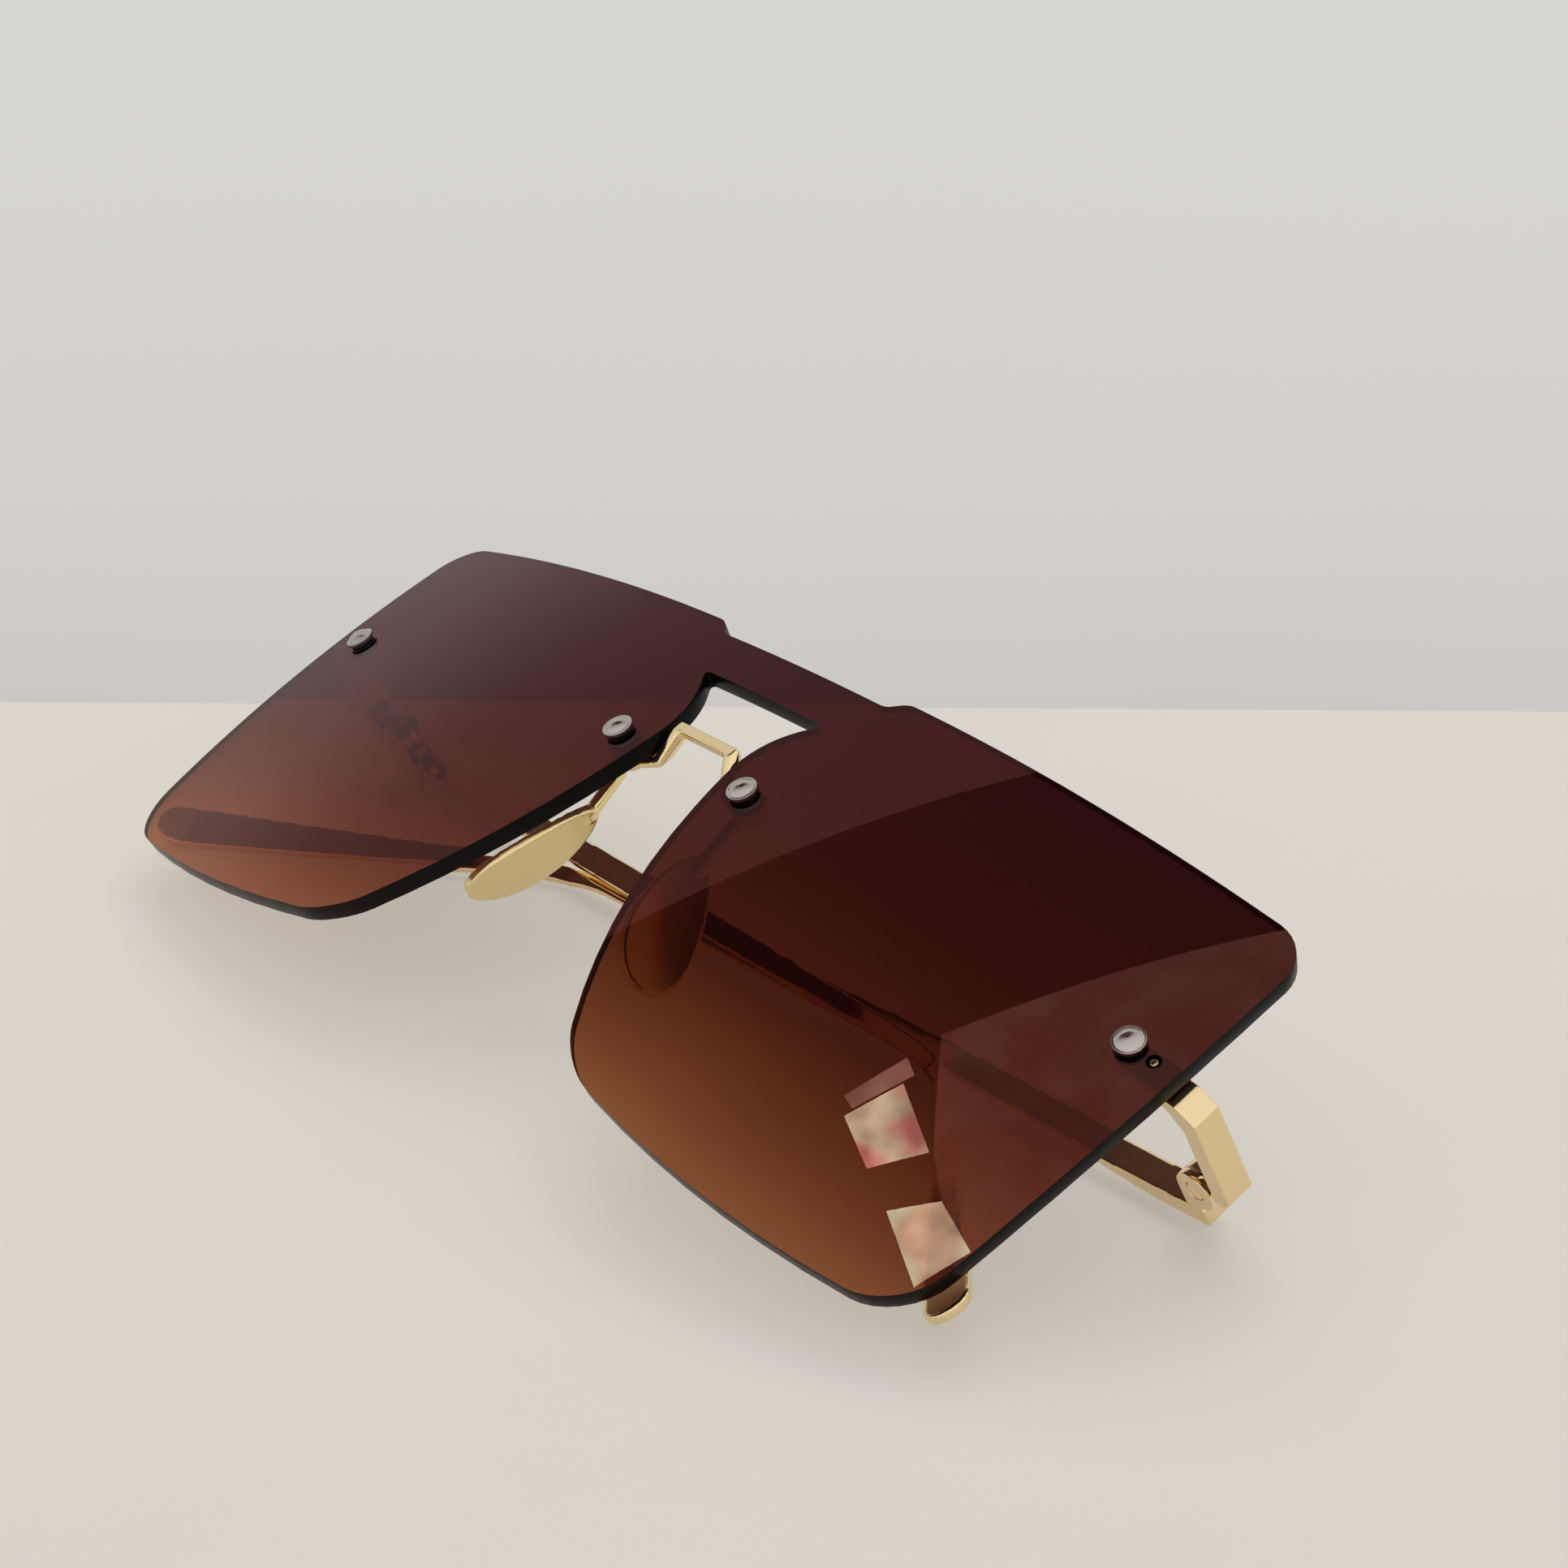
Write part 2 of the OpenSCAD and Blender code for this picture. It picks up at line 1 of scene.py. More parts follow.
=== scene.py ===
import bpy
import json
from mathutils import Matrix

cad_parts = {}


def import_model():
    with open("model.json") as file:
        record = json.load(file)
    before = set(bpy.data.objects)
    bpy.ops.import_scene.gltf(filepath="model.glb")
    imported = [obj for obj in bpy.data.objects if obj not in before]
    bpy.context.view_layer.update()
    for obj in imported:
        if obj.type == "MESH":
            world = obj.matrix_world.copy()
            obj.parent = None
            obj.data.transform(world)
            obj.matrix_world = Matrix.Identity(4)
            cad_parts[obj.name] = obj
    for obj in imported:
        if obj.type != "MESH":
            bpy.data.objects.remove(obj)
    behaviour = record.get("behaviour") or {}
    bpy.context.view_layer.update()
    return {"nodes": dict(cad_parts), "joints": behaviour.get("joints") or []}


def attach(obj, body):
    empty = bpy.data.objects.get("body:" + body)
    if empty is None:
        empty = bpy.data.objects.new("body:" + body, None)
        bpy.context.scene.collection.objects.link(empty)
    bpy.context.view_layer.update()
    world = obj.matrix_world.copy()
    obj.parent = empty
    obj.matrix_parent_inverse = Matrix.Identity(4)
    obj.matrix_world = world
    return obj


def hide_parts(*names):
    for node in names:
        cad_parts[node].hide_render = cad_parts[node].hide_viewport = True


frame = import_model()

import json
import math

import bmesh
import bpy
from mathutils import Matrix, Vector

# Rimless one-piece shield sunglasses that lie lens up on their folded temples, on a pale table in
# front of a pale wall. Lengths are in metres where nothing else is said.
MM = 0.001
NODES = frame["nodes"]
SIDES = ("left", "right")

# ---------------------------------------------------------------- the glasses' own frame
# x to the viewer's right, y up the lens, z out of its front, from the middle of the lens front.
# The left hinge is known in both frames, which gives the way from this one to the laid one.
HINGE = next(j for j in frame["joints"] if j["name"] == "left_temple_hinge")
HINGE_IN_FRONT = Vector((-70.3, 7.4, -24.5)) * MM
TURN = Matrix.Rotation(math.atan2(HINGE["axis"][2], HINGE["axis"][1]), 4, "X")
LAID = Matrix.Translation(Vector(HINGE["pos_m"]) - TURN @ HINGE_IN_FRONT) @ TURN
STANDING = LAID.inverted()

# the lens is a piece of a spherical shell
LENS_RADIUS = 305 * MM
LENS_THICK = 2 * MM
SPHERE_CENTRE = Vector((0, 0, -LENS_RADIUS))
LAID_CENTRE = LAID @ SPHERE_CENTRE
LENS_MIDDLE = LAID @ Vector((0, 0, 0))
UP_LENS = LAID.to_3x3() @ Vector((0, 1, 0))


# ---------------------------------------------------------------- nodes
def colour(code):
    """sRGB hex to linear."""
    parts = [int(code[i:i + 2], 16) / 255 for i in (1, 3, 5)]
    return [p / 12.92 if p <= 0.04045 else ((p + 0.055) / 1.055) ** 2.4 for p in parts] + [1.0]


def add(tree, kind, settings=None, links=None):
    """One node, with its settings and its input links."""
    node = tree.nodes.new(kind)
    for name, value in (settings or {}).items():
        if isinstance(name, int) or not hasattr(node, name):
            node.inputs[name].default_value = value
        else:
            setattr(node, name, value)
    for name, source in (links or {}).items():
        tree.links.new(source, node.inputs[name])
    return node


def new_material(name):
    """An empty material and its node tree."""
    made = bpy.data.materials.new(name)
    made.use_nodes = True
    made.node_tree.nodes.clear()
    return made, made.node_tree


def finish_with(tree, shader):
    """Makes a shader the surface of its material."""
    add(tree, "ShaderNodeOutputMaterial", links={"Surface": shader})


def object_place(tree):
    """Place on the object itself, so that a pattern moves with its piece."""
    return add(tree, "ShaderNodeTexCoord").outputs["Object"]


def noise(tree, patch_mm, detail):
    """Cloudy noise with patches of about this size."""
    return add(tree, "ShaderNodeTexNoise", {"Scale": 1000 / patch_mm, "Detail": detail},
               {"Vector": object_place(tree)}).outputs["Fac"]


def spread(tree, cloud, low, high, half=0.2):
    """Stretches the middle of a noise, from 0.5 - half to 0.5 + half, over low to high."""
    return add(tree, "ShaderNodeMapRange",
               {"From Min": 0.5 - half, "From Max": 0.5 + half, "To Min": low, "To Max": high},
               {"Value": cloud}).outputs["Result"]


def ramp(tree, factor, stops, interpolation="LINEAR"):
    """Colours by a factor, from pairs of a place and a hex code."""
    node = add(tree, "ShaderNodeValToRGB", links={"Fac": factor})
    node.color_ramp.interpolation = interpolation
    while len(node.color_ramp.elements) < len(stops):
        node.color_ramp.elements.new(0.5)
    for element, (place, code) in zip(node.color_ramp.elements, stops):
        element.position = place
        element.color = colour(code)
    return node.outputs["Color"]


def either_colour(tree, factor, first, second):
    """The first colour where the factor is 0, the second where it is 1."""
    return add(tree, "ShaderNodeMix", {"data_type": "RGBA"},
               {0: factor, 6: first, 7: second}).outputs[2]


def either_shader(tree, factor, first, second):
    """The first shader where the factor is 0, the second where it is 1."""
    return add(tree, "ShaderNodeMixShader",
               links={0: factor, 1: first, 2: second}).outputs["Shader"]


def calculate(tree, operation, first, second):
    """A sum, product or the like of two outputs."""
    return add(tree, "ShaderNodeMath", {"operation": operation},
               {0: first, 1: second}).outputs["Value"]


# ---------------------------------------------------------------- materials of the glasses
POLYCARBONATE_IOR = 1.586
DYE_FOOT = -29 * MM  # the dye's lower end, up the lens from its middle
DYE_LENGTH = 56 * MM
SHADOW_DYE = 0.055  # power of the dye's colour that each face takes out of a shadow ray


def plated_metal(name, base, rough, grain_mm, worn=0.05, bump=0.02):
    """Polished metal: fine polishing marks and a little unevenness in the gloss."""
    made, tree = new_material(name)
    gloss = spread(tree, noise(tree, 6, 3), rough, rough + worn)
    relief = add(tree, "ShaderNodeBump", {"Strength": bump, "Distance": 0.02 * MM},
                 {"Height": noise(tree, grain_mm, 4)})
    shader = add(tree, "ShaderNodeBsdfPrincipled", {"Base Color": colour(base), "Metallic": 1.0},
                 {"Roughness": gloss, "Normal": relief.outputs["Normal"]})
    finish_with(tree, shader.outputs["BSDF"])
    return made


def black_nylon():
    """Moulded dark plastic with a soft, uneven sheen."""
    made, tree = new_material("black_nylon")
    gloss = spread(tree, noise(tree, 1.5, 3), 0.3, 0.4)
    shader = add(tree, "ShaderNodeBsdfPrincipled", {"Base Color": colour("#141214"), "IOR": 1.49},
                 {"Roughness": gloss})
    finish_with(tree, shader.outputs["BSDF"])
    return made


def tint_height(tree):
    """Height up the lens, 0 at its lower edge and 1 near its top edge, where the dye is full."""
    along = add(tree, "ShaderNodeVectorMath", {"operation": "DOT_PRODUCT", 1: UP_LENS},
                {0: object_place(tree)})
    low = UP_LENS.dot(LENS_MIDDLE) + DYE_FOOT
    return add(tree, "ShaderNodeMapRange", {"From Min": low, "From Max": low + DYE_LENGTH},
               {"Value": along.outputs["Value"]}).outputs["Result"]


def dipped_lens():
    """Polycarbonate, dyed in a bath from the top down, so that it clears towards the lower edge.
    Its coating takes green and blue out of what it mirrors. To shadow rays it is a plain tinted
    sheet, so that light falls through it on the table."""
    made, tree = new_material("dip_dyed_polycarbonate")
    tint = ramp(tree, tint_height(tree), [
        (0.0, "#b87751"), (0.12, "#925231"), (0.3, "#622b19"),
        (0.5, "#441711"), (0.72, "#361010"), (1.0, "#2c0d0d")], "B_SPLINE")
    body = add(tree, "ShaderNodeBsdfPrincipled",
               {"Roughness": 0.0, "IOR": POLYCARBONATE_IOR, "Transmission Weight": 1.0,
                "Specular Tint": colour("#ffaaaa")}, {"Base Color": tint})
    one_face = add(tree, "ShaderNodeGamma", {"Gamma": SHADOW_DYE}, {"Color": tint})
    clear = add(tree, "ShaderNodeBsdfTransparent", links={"Color": one_face.outputs["Color"]})
    shadow = add(tree, "ShaderNodeLightPath").outputs["Is Shadow Ray"]
    finish_with(tree, either_shader(tree, shadow, body.outputs["BSDF"], clear.outputs["BSDF"]))
    return made


def polished_edge():
    """The lens's ground and polished side wall, nearly black because it is seen along the dye."""
    made, tree = new_material("polished_lens_edge")
    tone = ramp(tree, tint_height(tree), [(0.0, "#1d1210"), (0.35, "#0f0b0c"), (1.0, "#0b0a0c")])
    shader = add(tree, "ShaderNodeBsdfPrincipled",
                 {"Roughness": 0.3, "IOR": POLYCARBONATE_IOR, "Specular IOR Level": 0.06},
                 {"Base Color": tone})
    finish_with(tree, shader.outputs["BSDF"])
    return made


GOLD = plated_metal("polished_gold_plate", "#f5deb0", 0.07, 0.12)
GOLD_PADS = plated_metal("tumbled_gold_plate", "#f1dca4", 0.16, 0.2, worn=0.08, bump=0.12)
STEEL = plated_metal("polished_steel", "#bcb7b1", 0.09, 0.1)
WASHER = black_nylon()
LENS = dipped_lens()
EDGE = polished_edge()


# ---------------------------------------------------------------- pieces
WELD = 0.002 * MM  # vertices nearer than this are one
EDGE_TURN = 28  # degrees; an edge that turns more than this is a sharp one
METAL_SMOOTH, LENS_SMOOTH = 30, 25  # degrees; an edge that turns less than this is shaded smooth


def add_object(name, bm):
    """Links a new object that holds a bmesh, and uses the bmesh up."""
    mesh = bpy.data.meshes.new(name)
    bm.to_mesh(mesh)
    bm.free()
    made = bpy.data.objects.new(name, mesh)
    bpy.context.scene.collection.objects.link(made)
    return made


def welded_copy(node):
    """A CAD node's shape as a joined-up bmesh in the glasses' own frame."""
    bm = bmesh.new()
    bm.from_mesh(NODES[node].data)
    bm.transform(STANDING)
    bmesh.ops.remove_doubles(bm, verts=bm.verts, dist=WELD)
    return bm


def round_edges(bm, edges, width_mm, segments):
    """Gives edges a round bevel."""
    bmesh.ops.bevel(bm, geom=edges, offset=width_mm * MM, segments=segments, profile=0.5,
                    affect="EDGES", material=-1, clamp_overlap=True)


def place_piece(bm, name, node, body, materials, smooth_deg):
    """Puts a finished bmesh on its body in place of its CAD node."""
    limit = math.radians(smooth_deg)
    for edge in bm.edges:
        edge.smooth = len(edge.link_faces) == 2 and edge.calc_face_angle(0) < limit
    for face in bm.faces:
        face.smooth = True
    bm.transform(LAID)
    piece = add_object(name, bm)
    for material in materials:
        piece.data.materials.append(material)
    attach(piece, body)
    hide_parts(node)
    return piece


def eased_metal(node, body, material, width_mm, flat_deg=0.6):
    """A small hard piece with its sharp edges broken, as tumbling and polishing leave them."""
    bm = welded_copy(node)
    bmesh.ops.dissolve_limit(bm, angle_limit=math.radians(flat_deg), verts=bm.verts, edges=bm.edges)
    if width_mm:
        sharp = math.radians(EDGE_TURN)
        round_edges(bm, [e for e in bm.edges
                         if len(e.link_faces) == 2 and e.calc_face_angle(0) > sharp], width_mm, 3)
    bmesh.ops.triangulate(bm, faces=[f for f in bm.faces if len(f.verts) > 4])
    return place_piece(bm, node + "_finished", node, body, [material], METAL_SMOOTH)


def swap_mesh(piece):
    """Makes the result of a piece's modifiers its mesh."""
    old = piece.data
    name = old.name
    result = piece.evaluated_get(bpy.context.evaluated_depsgraph_get())
    made = bpy.data.meshes.new_from_object(result)
    piece.modifiers.clear()
    if not made.materials:
        for material in old.materials:
            made.materials.append(material)
    piece.data = made
    bpy.data.meshes.remove(old)
    made.name = name


def soften(piece, voxel_mm, passes):
    """Melts a casting's edges and bends together, as long tumbling does."""
    even = piece.modifiers.new("even_mesh", "REMESH")
    even.mode, even.voxel_size, even.use_smooth_shade = "VOXEL", voxel_mm * MM, True
    ease = piece.modifiers.new("ease", "SMOOTH")
    ease.factor, ease.iterations = 0.5, passes
    swap_mesh(piece)


# ---------------------------------------------------------------- the lens
DOMED = 0.85  # a face whose normal has more z than this is on a domed side of the lens
WALLED = 0.6  # and one whose normal has less z than this is on its wall
CLEAR = 0.96  # one with less z than this, such as a rounded corner, looks like the wall
GRID = ((1, 0, 0), 72), ((0, 1, 0), 27)  # directions of the grid and its reach in mm
GRID_STEP = 3  # mm
GRID_SHIFT = 0.37  # mm, so that no cut meets a vertex of the outline
EDGE_ROUND = 0.16  # mm
ON_SPHERE = 0.99  # a face that agrees this well with the sphere's normal takes it over


def sphere_normal(point):
    """Normal of the lens's spheres at a point, in the glasses' own frame."""
    return (point - SPHERE_CENTRE).normalized()


def dome(x, y):
    """Height of the lens's front face over a point of its plane."""
    return math.sqrt(LENS_RADIUS ** 2 - x * x - y * y) - LENS_RADIUS


def flat_rim():
    """The edges between the CAD lens's front face and its walls, laid flat."""
    cad = welded_copy("lens")
    bm = bmesh.new()
    made = {}
    for edge in cad.edges:
        if len(edge.link_faces) != 2:
            continue
        side, front = sorted(f.normal.z for f in edge.link_faces)
        if front > DOMED and abs(side) < WALLED:
            for vert in edge.verts:
                if vert not in made:
                    made[vert] = bm.verts.new((vert.co.x, vert.co.y, 0))
            bm.edges.new([made[v] for v in edge.verts])
    cad.free()
    return bm


def loops_of(bm):
    """The loops of vertices in a bmesh that holds only edges, longest first."""
    loops, seen = [], set()
    for start in bm.verts:
        if start in seen:
            continue
        loop, at = [], start
        while at is not None:
            seen.add(at)
            loop.append(at)
            ahead = [e.other_vert(at) for e in at.link_edges if e.other_vert(at) not in seen]
            at = ahead[0] if ahead else None
        loops.append(loop)
    return sorted(loops, key=len, reverse=True)


def hole_cutter(holes):
    """Pins that drill the lens along its normals; what they cut gets the look of the side wall."""
    bm = bmesh.new()
    for middle, radius in holes:
        at = Vector((middle.x, middle.y, dome(middle.x, middle.y)))
        out = sphere_normal(at)
        spin = Vector((0, 0, 1)).rotation_difference(out).to_matrix().to_4x4()
        bmesh.ops.create_cone(bm, cap_ends=True, cap_tris=False, segments=32, radius1=radius,
                              radius2=radius, depth=3 * LENS_THICK,
                              matrix=Matrix.Translation(at - out * LENS_THICK / 2) @ spin)
    bm.transform(LAID)
    cutter = add_object("lens_cutter", bm)
    for material in (LENS, EDGE):
        cutter.data.materials.append(material)
    for face in cutter.data.polygons:
        face.material_index = 1
    return cutter


def lens_piece():
    """The shield lens: its outline is cut into a fine grid, domed to a sphere, given its wall and
    drilled."""
    bm = flat_rim()
    outline, *small = loops_of(bm)
    holes = []
    for loop in small:
        middle = sum((v.co for v in loop), Vector()) / len(loop)
        holes.append((middle, sum((v.co - middle).length for v in loop) / len(loop)))
    bmesh.ops.delete(bm, geom=[v for loop in small for v in loop], context="VERTS")
    bm.faces.new(outline)
    for axis, reach in GRID:
        for k in range(-reach, reach + 1, GRID_STEP):
            bmesh.ops.bisect_plane(bm, geom=bm.verts[:] + bm.edges[:] + bm.faces[:], dist=1e-7,
                                   plane_co=Vector(axis) * (k + GRID_SHIFT) * MM, plane_no=axis)
    for vert in bm.verts:
        vert.co.z = dome(vert.co.x, vert.co.y)
    for item in bmesh.ops.extrude_face_region(bm, geom=bm.faces[:])["geom"]:
        if isinstance(item, bmesh.types.BMVert):
            item.co -= sphere_normal(item.co) * LENS_THICK
    bmesh.ops.recalc_face_normals(bm, faces=bm.faces)
    corners = []
    for edge in bm.edges:
        if len(edge.link_faces) == 2:
            first, second = (abs(f.normal.z) > DOMED for f in edge.link_faces)
            if first != second:
                corners.append(edge)
    round_edges(bm, corners, EDGE_ROUND, 2)
    for face in bm.faces:
        face.material_index = 0 if abs(face.normal.z) > CLEAR else 1
    cutter = hole_cutter(holes)
    piece = place_piece(bm, "shield_lens", "lens", "front", [LENS, EDGE], LENS_SMOOTH)
    drill = piece.modifiers.new("holes", "BOOLEAN")
    drill.operation, drill.object, drill.solver = "DIFFERENCE", cutter, "EXACT"
    swap_mesh(piece)
    pins = cutter.data
    bpy.data.objects.remove(cutter)
    bpy.data.meshes.remove(pins)
    smooth_sphere(piece)


def smooth_sphere(piece):
    """Gives the two domed faces the true normals of their spheres, for clean reflections."""
    mesh = piece.data
    normals = [Vector(n.vector) for n in mesh.corner_normals]
    for face in mesh.polygons:
        facing = (face.center - LAID_CENTRE).normalized().dot(face.normal)
        if abs(facing) > ON_SPHERE:
            for corner in face.loop_indices:
                point = mesh.vertices[mesh.loops[corner].vertex_index].co
                normals[corner] = (point - LAID_CENTRE).normalized() * (1 if facing > 0 else -1)
    mesh.normals_split_custom_set([list(n) for n in normals])


# ---------------------------------------------------------------- all pieces
# castings are softened; what is turned or milled keeps its form and has its edges broken
lens_piece()
for side in SIDES:
    soften(eased_metal(side + "_temple", side + "_arm", GOLD, 0), 0.16, 14)
for side in SIDES:
    eased_metal(side + "_hinge_lugs", side + "_arm", GOLD, 0.12)
for side in SIDES:
    eased_metal(side + "_hinge_barrel", "front", GOLD, 0.08)
for side in SIDES:
    soften(eased_metal(side + "_end_piece", "front", GOLD, 0), 0.13, 5)
for side in SIDES:
    soften(eased_metal(side + "_nose_pad", "front", GOLD_PADS, 0, 0.3), 0.15, 10)
soften(eased_metal("bridge", "front", GOLD, 0), 0.14, 16)
eased_metal("lens_screws", "front", STEEL, 0.06, 0.1)
eased_metal("lens_nuts", "front", GOLD, 0.06, 0.1)
for name in ("locating_pins", "left_hinge_screw", "right_hinge_screw"):
    eased_metal(name, "front", GOLD, 0.05, 0.1)
for name in ("front_washers", "rear_washers", "lens_sleeves"):
    eased_metal(name, "front", WASHER, 0.05, 0.1)


# ---------------------------------------------------------------- camera
# solved from the lens's outline in the photo, in the glasses' own frame
PHOTO = 1932  # pixels, both ways
FOCAL = 4888.08  # pixels
SENSOR = 36  # mm
CAMERA_AT = Vector((310.63, -120.26, 232.94)) * MM
CAMERA_RIGHT = Vector((0.59963, 0.71567, -0.35813))
CAMERA_DOWN = Vector((0.29952, -0.61568, -0.72886))
CAMERA_AHEAD = Vector((-0.74211, 0.32978, -0.58354))


def camera():
    """The photo's camera, so that the picture shows the glasses where the photo does."""
    data = bpy.data.cameras.new("camera")
    data.sensor_width = SENSOR
    data.lens = FOCAL / PHOTO * SENSOR
    data.clip_start = 0.01
    data.clip_end = 20
    seen = bpy.data.objects.new("camera", data)
    axes = Matrix((CAMERA_RIGHT, -CAMERA_DOWN, -CAMERA_AHEAD)).transposed().to_4x4()
    seen.matrix_world = LAID @ Matrix.Translation(CAMERA_AT) @ axes
    bpy.context.scene.collection.objects.link(seen)
    bpy.context.scene.camera = seen


def sight(u, v):
    """Camera position and the direction of a photo pixel, in the laid frame."""
    ahead = CAMERA_RIGHT * (u - PHOTO / 2) + CAMERA_DOWN * (v - PHOTO / 2) + CAMERA_AHEAD * FOCAL
    return LAID @ CAMERA_AT, (LAID.to_3x3() @ ahead).normalized()


def on_table(u, v):
    """Point of the table at a photo pixel."""
    eye, way = sight(u, v)
    return eye - way * (eye.z / way.z)


def off_lens(u, v):
    """Point of the lens front at a photo pixel and the direction of its mirror image."""
    eye, way = sight(u, v)
    gap = eye - LAID_CENTRE
    half = way.dot(gap)
    reach = -half - math.sqrt(half * half - gap.length_squared + LENS_RADIUS ** 2)
    point = eye + way * reach
    normal = (point - LAID_CENTRE).normalized()
    return point, way - normal * 2 * way.dot(normal)


camera()

# ---------------------------------------------------------------- table and wall
WALL_LINE = (-400, 862.5), (2332, 879.5)  # photo pixels where the wall meets the table
WALL_TOP = 182 * MM  # its mirror image is the curve across the bar and the right lobe
WALL_FOOT = -10 * MM  # under the table, so that no gap shows
STAGE_REACH = 4.0  # how far the table and the wall go on to each side
OUTSIDE = 60  # photo pixels beyond the picture's edge


def painted_table():
    """Plain matt paint, faintly mottled. Part of its brightness is its own light, which stands for
    the bright room that fills the shadows."""
    made, tree = new_material("pale_table")
    paint = colour("#d6d1c8")
    darker = [c * 0.97 for c in paint[:3]] + [1.0]
    own_light = 0.55
    mixed = add(tree, "ShaderNodeMix", {"data_type": "RGBA", 6: paint, 7: darker},
                {0: noise(tree, 40, 3)}).outputs[2]
    share = add(tree, "ShaderNodeVectorMath", {"operation": "SCALE", "Scale": 1 - own_light},
                {0: mixed})
    shader = add(tree, "ShaderNodeBsdfPrincipled",
                 {"Roughness": 0.6, "Emission Strength": own_light},
                 {"Base Color": share.outputs["Vector"], "Emission Color": mixed})
    finish_with(tree, shader.outputs["BSDF"])
    return made


def backdrop_paper(in_frame):
    """Evenly lit pale paper, with painted shade that makes it a little darker at its foot; from
    behind it is left out of the picture. The lens is the only perfectly smooth thing here, so a
    glossy and
    singular ray comes from it: to that ray the paper shows a painted reflection in dim reddish
    tones, which stand for the tint of the lens's coating, with more painted shade at its foot."""
    made, tree = new_material("backdrop_paper")
    up = add(tree, "ShaderNodeSeparateXYZ", links={0: object_place(tree)}).outputs["Z"]
    # painted shade: the paper's own light grows up the wall, so that it is darker at its foot
    level = add(tree, "ShaderNodeMapRange", {"From Max": in_frame, "To Max": 0.9}, {"Value": up})
    mottled = add(tree, "ShaderNodeMath", {"operation": "MULTIPLY_ADD", 1: 0.12},
                  {0: noise(tree, 90, 2), 2: level.outputs["Result"]})
    tone = ramp(tree, mottled.outputs["Value"],
                [(0.0, "#c9c6c0"), (0.12, "#cecbc6"), (0.4, "#d4d1cd"), (1.0, "#d8d6d3")])
    # painted reflection: the tones that the lens mirrors, dim and reddish for its coating's tint,
    # with painted shade at the foot
    whole = add(tree, "ShaderNodeMapRange", {"From Max": WALL_TOP}, {"Value": up})
    dim = ramp(tree, whole.outputs["Result"], [
        (0.0, "#817572"), (0.13, "#bcaba7"), (0.2, "#c5b1ae"),
        (0.36, "#b3918f"), (0.5, "#b5908b"), (1.0, "#bc928d")])
    path = add(tree, "ShaderNodeLightPath").outputs
    in_lens = calculate(tree, "MULTIPLY", path["Is Glossy Ray"], path["Is Singular Ray"])
    glow = add(tree, "ShaderNodeEmission", links={"Color": either_colour(tree, in_lens, tone, dim)})
    behind = add(tree, "ShaderNodeNewGeometry").outputs["Backfacing"]
    gone = add(tree, "ShaderNodeBsdfTransparent")
    finish_with(tree, either_shader(tree, behind, glow.outputs["Emission"], gone.outputs["BSDF"]))
    return made


def sheet(name, corners, material):
    """A flat stage object with one face."""
    bm = bmesh.new()
    bm.faces.new([bm.verts.new(corner) for corner in corners])
    made = add_object(name, bm)
    made.data.materials.append(material)
    return made


def setting():
    """A pale table that meets a pale wall along the line that the photo shows."""
    left, right = (on_table(*pixel) for pixel in WALL_LINE)
    along = (right - left).normalized()
    away = Vector((-along.y, along.x, 0))
    middle = (left + right) / 2
    ends = [middle - along * STAGE_REACH, middle + along * STAGE_REACH]
    near = [end - away * STAGE_REACH for end in ends]
    sheet("table", [(p.x, p.y, 0) for p in near + ends[::-1]], painted_table())
    in_frame = 0
    for u in (-OUTSIDE, PHOTO + OUTSIDE):
        eye, way = sight(u, -OUTSIDE)
        in_frame = max(in_frame, eye.z + way.z * ((middle - eye).dot(away) / way.dot(away)))
    corners = [(p.x, p.y, WALL_FOOT) for p in ends] + [(p.x, p.y, WALL_TOP) for p in ends[::-1]]
    wall = sheet("wall", corners, backdrop_paper(in_frame))
    wall.visible_diffuse = wall.visible_shadow = False


setting()

# ---------------------------------------------------------------- light
DARK_CORNER = Vector((-0.62, 0.08, 0.78))  # direction of the room's dim corner


def world():
    """Even pale light. What shines mirrors a pale room with one dim corner up to the left: the
    metals in neutral tones, the lens, which alone sends singular rays, in its coating's tones."""
    made = bpy.data.worlds.new("room")
    made.use_nodes = True
    tree = made.node_tree
    tree.nodes.clear()
    plain = add(tree, "ShaderNodeBackground", {"Color": colour("#f4f4f6"), "Strength": 0.76})
    way = add(tree, "ShaderNodeTexCoord").outputs["Generated"]
    near = add(tree, "ShaderNodeVectorMath",
               {"operation": "DOT_PRODUCT", 1: DARK_CORNER.normalized()}, {0: way})
    tone = ramp(tree, near.outputs["Value"], [
        (0.0, "#fbf9f6"), (0.6, "#ece8e4"), (0.82, "#bdb6b4"),
        (0.9, "#80706a"), (0.95, "#644b41"), (1.0, "#5c4238")])
    coated = ramp(tree, near.outputs["Value"], [
        (0.0, "#c8c4c4"), (0.6, "#b8b2b2"), (0.82, "#9c8f90"),
        (0.9, "#855c5b"), (0.95, "#664443"), (1.0, "#604140")])
    path = add(tree, "ShaderNodeLightPath").outputs
    room = add(tree, "ShaderNodeBackground", {"Strength": 1.0},
               {"Color": either_colour(tree, path["Is Singular Ray"], tone, coated)})
    mirrored = calculate(tree, "MAXIMUM", path["Is Glossy Ray"], path["Is Transmission Ray"])
    light = either_shader(tree, mirrored, plain.outputs["Background"], room.outputs["Background"])
    add(tree, "ShaderNodeOutputWorld", links={"Surface": light})
    bpy.context.scene.world = made


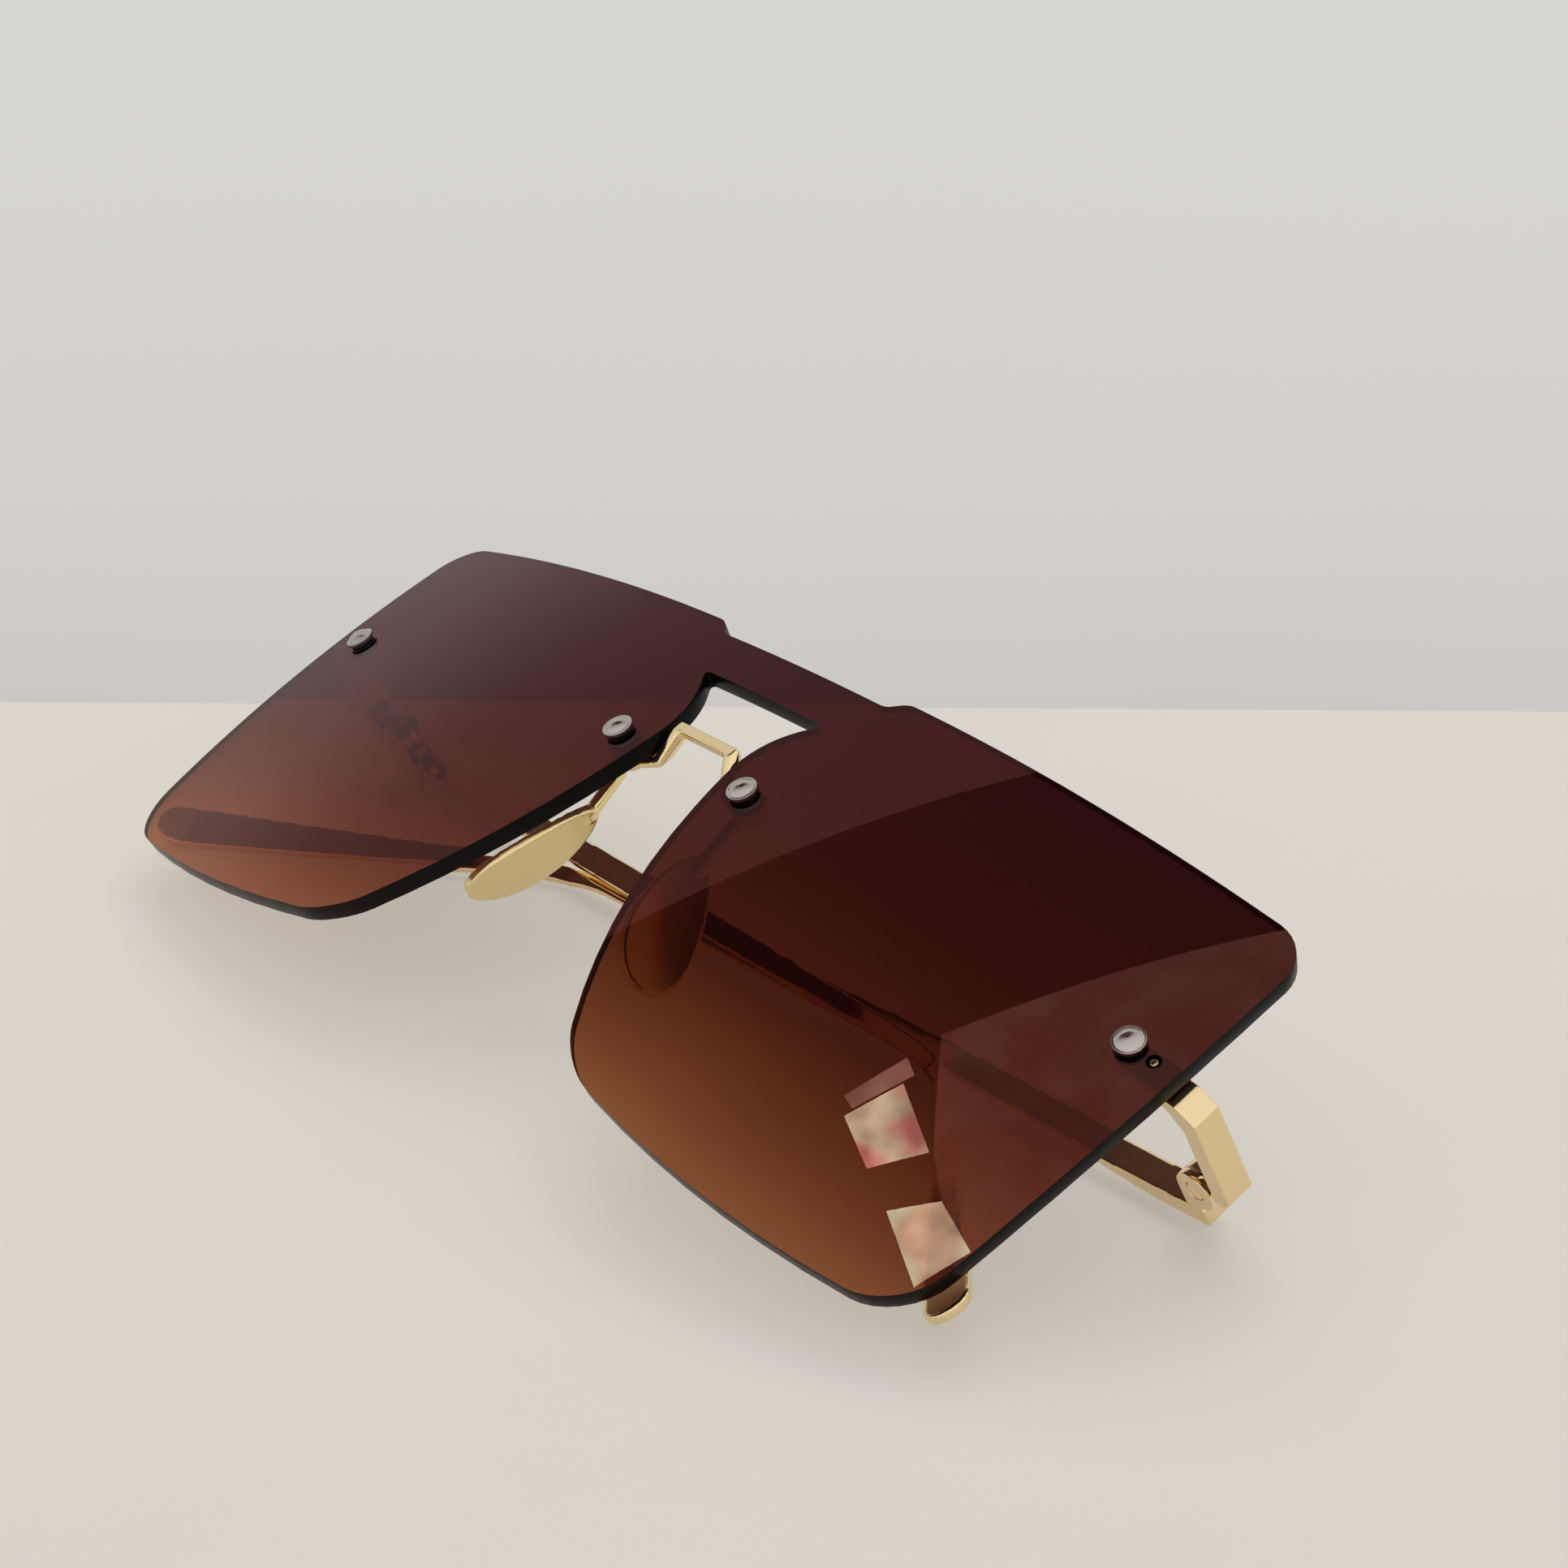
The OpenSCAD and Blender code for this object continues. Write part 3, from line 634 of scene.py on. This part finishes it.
def window_light():
    """Soft daylight from above and behind, seen from the camera; it shows in no mirror image."""
    data = bpy.data.lights.new("window_light", "AREA")
    data.shape = "RECTANGLE"
    data.size, data.size_y = 2.0, 1.6
    data.energy = 22
    data.color = colour("#fff8ee")[:3]
    lamp = bpy.data.objects.new("window_light", data)
    at = Vector((-0.9, 0.9, 1.6))
    lamp.matrix_world = Matrix.Translation(at) @ at.to_track_quat("Z", "Y").to_matrix().to_4x4()
    bpy.context.scene.collection.objects.link(lamp)
    lamp.visible_glossy = lamp.visible_transmission = False


def lit_card(name, code, second_code, strength, uneven):
    """Light in two hues for the lens alone: on singular rays only, so that no metal mirrors it."""
    made, tree = new_material(name)
    cloud = noise(tree, 1000 / 14, 2)
    level = spread(tree, cloud, (1 - uneven) * strength, (1 + uneven) * strength, 0.15)
    singular = add(tree, "ShaderNodeLightPath").outputs["Is Singular Ray"]
    hue = ramp(tree, noise(tree, 1000 / 11, 1), [(0.42, code), (0.56, second_code)])
    glow = add(tree, "ShaderNodeEmission",
               links={"Color": hue, "Strength": calculate(tree, "MULTIPLY", singular, level)})
    finish_with(tree, glow.outputs["Emission"])
    return made


def mirrored_card(name, height, look, pixels):
    """A lit card overhead, set where the lens mirrors these photo pixels towards the camera."""
    corners = []
    for u, v in pixels:
        point, way = off_lens(u, v)
        corners.append(point + way * ((height - point.z) / way.z))
    card = sheet(name, corners, lit_card(name + "_glow", *look))
    card.visible_camera = card.visible_diffuse = card.visible_shadow = False
    card.visible_transmission = False


world()
window_light()
mirrored_card("ceiling", 1.6, ("#f9c9b0", "#ffe4c9", 0.88, 0.08), [
    (1160, 1275), (1260, 1237), (1375, 1198), (1500, 1164), (1600, 1142), (1640, 1240),
    (1300, 1500), (1190, 1640), (1150, 1420)])
mirrored_card("upper_window", 1.5, ("#cba7a2", "#cbffd5", 10.8, 0.35),
              [(1040, 1375), (1113, 1335), (1145, 1420), (1068, 1440)])
mirrored_card("lower_window", 1.5, ("#b4d5b1", "#b4ffd3", 15.4, 0.35),
              [(1092, 1492), (1160, 1480), (1196, 1543), (1126, 1586)])
mirrored_card("transom", 1.5, ("#f3e4d2", "#f3fcdf", 2.7, 0.35),
              [(1040, 1350), (1118, 1303), (1127, 1325), (1050, 1366)])

bpy.context.scene.view_settings.view_transform = "Standard"
